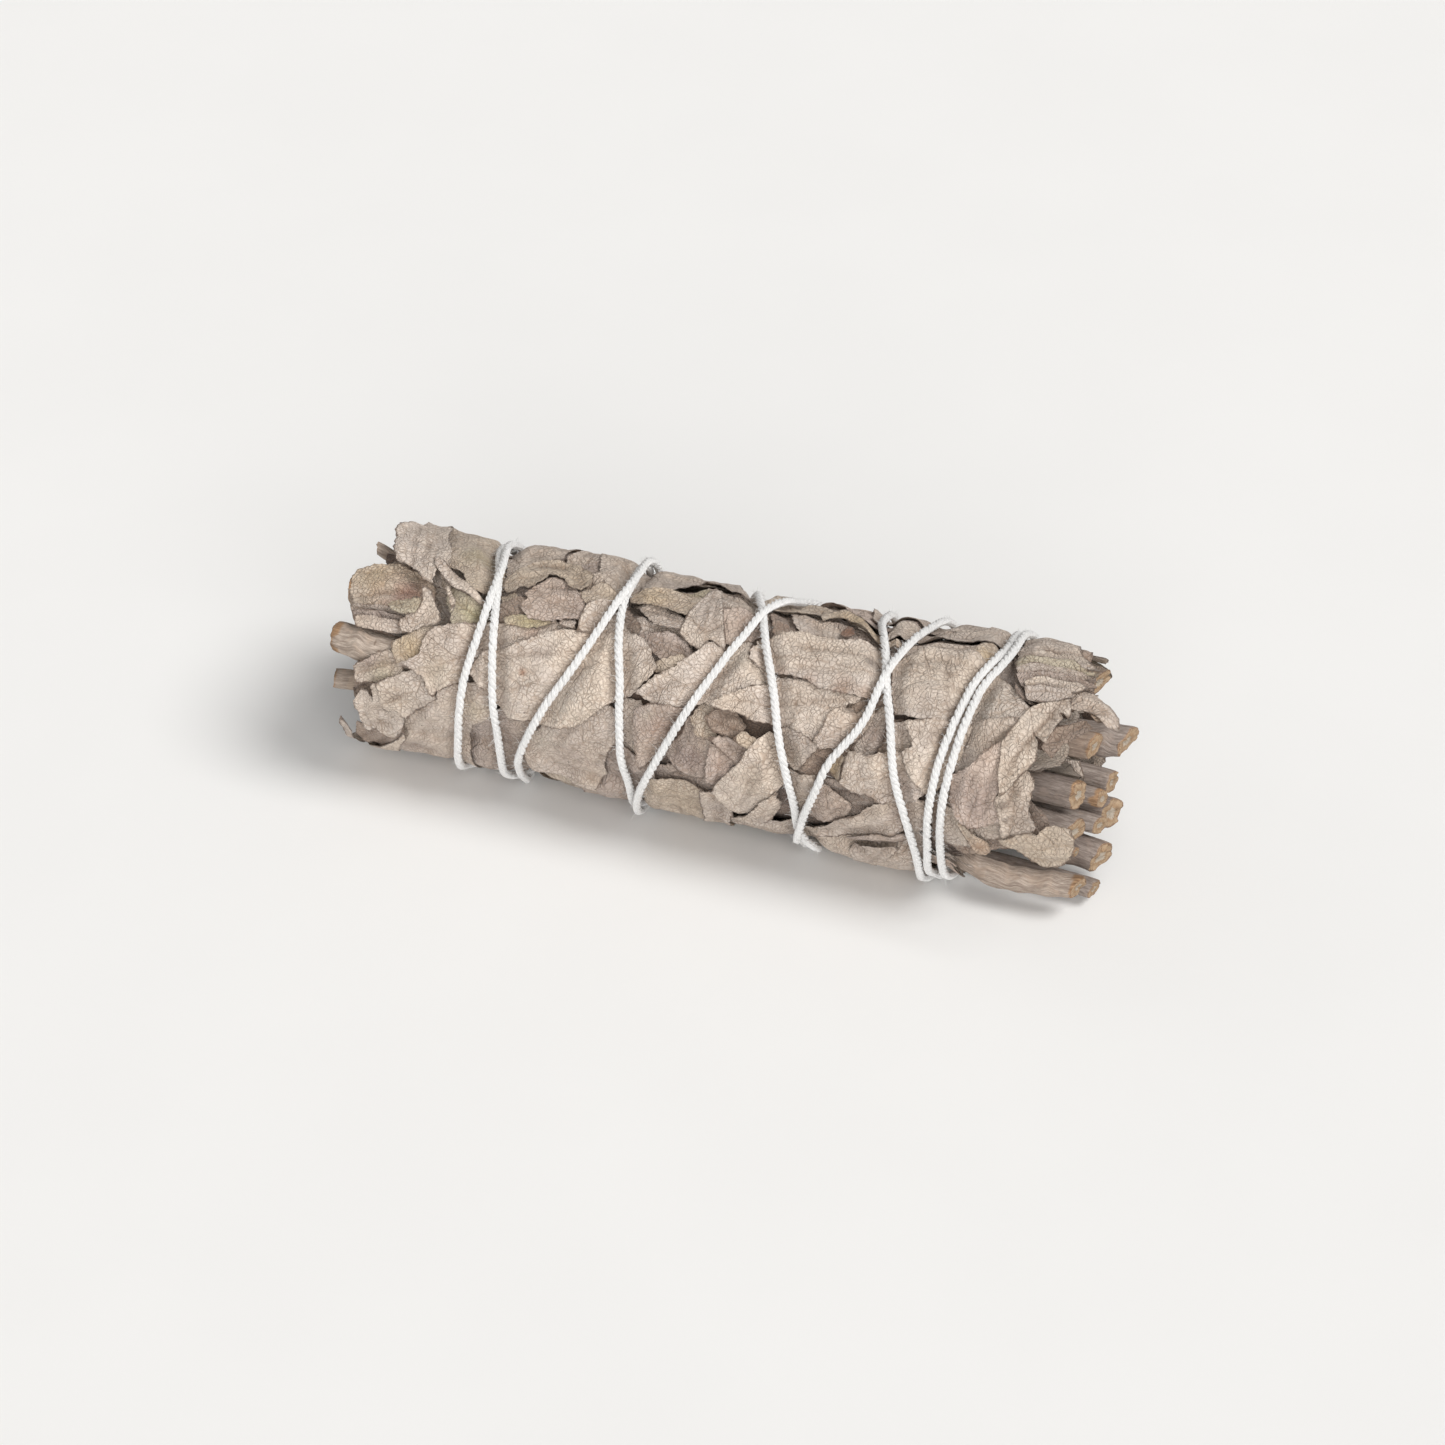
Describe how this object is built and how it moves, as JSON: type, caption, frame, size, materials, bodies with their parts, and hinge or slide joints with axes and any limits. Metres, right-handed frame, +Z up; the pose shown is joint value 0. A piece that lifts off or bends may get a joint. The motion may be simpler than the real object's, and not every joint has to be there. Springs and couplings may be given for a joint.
{
  "type": "sage smudge stick",
  "caption": "Short bundle of dried white sage leaves and cut stems laid lengthwise and bound with one wound cotton thread.",
  "frame": {"origin": "middle of the bundle's footprint, on the surface it rests on (bottom centre of its box)", "axes": "+X along the bundle towards the end where most cut stems show, +Z up"},
  "size_m": [0.1016, 0.0328, 0.0324],
  "materials": {
    "leaf": "dry, felted, matt; greige with tan and mauve-brown patches and a fine net of veins",
    "stem": "dry grey-brown bark, ribbed lengthwise; cut ends tan to orange with pale pith",
    "thread": "matt off-white twisted cotton, slightly fuzzy"
  },
  "bodies": {
    "root": {"leaf_back_1": "leaf", "leaf_back_2": "leaf", "leaf_back_3": "leaf", "leaf_belly_1": "leaf", "leaf_belly_2": "leaf", "leaf_belly_3": "leaf", "leaf_cap_left": "leaf", "leaf_inner_1_1": "leaf", "leaf_inner_1_2": "leaf", "leaf_inner_1_3": "leaf", "leaf_inner_1_4": "leaf", "leaf_inner_1_5": "leaf", "leaf_inner_1_6": "leaf", "leaf_inner_2_1": "leaf", "leaf_inner_2_2": "leaf", "leaf_inner_2_3": "leaf", "leaf_inner_2_4": "leaf", "leaf_inner_2_5": "leaf", "leaf_inner_2_6": "leaf", "leaf_inner_3_1": "leaf", "leaf_inner_3_2": "leaf", "leaf_inner_3_3": "leaf", "leaf_large_front": "leaf", "leaf_low_1": "leaf", "leaf_low_2": "leaf", "leaf_low_3": "leaf", "leaf_low_4": "leaf", "leaf_low_5": "leaf", "leaf_low_6": "leaf", "leaf_low_7": "leaf", "leaf_low_8": "leaf", "leaf_mid_1": "leaf", "leaf_mid_2": "leaf", "leaf_mid_3": "leaf", "leaf_mid_4": "leaf", "leaf_shard": "leaf", "leaf_shoulder_1": "leaf", "leaf_shoulder_2": "leaf", "leaf_shoulder_3": "leaf", "leaf_shoulder_4": "leaf", "leaf_top_1": "leaf", "leaf_top_2": "leaf", "leaf_top_3": "leaf", "leaf_top_4": "leaf", "stem_01": "stem", "stem_02": "stem", "stem_03": "stem", "stem_04": "stem", "stem_05": "stem", "stem_06": "stem", "stem_07": "stem", "stem_08": "stem", "stem_09": "stem", "stem_10": "stem", "stem_11": "stem", "stem_12": "stem", "thread": "thread", "twig": "stem"}
  },
  "joints": []
}
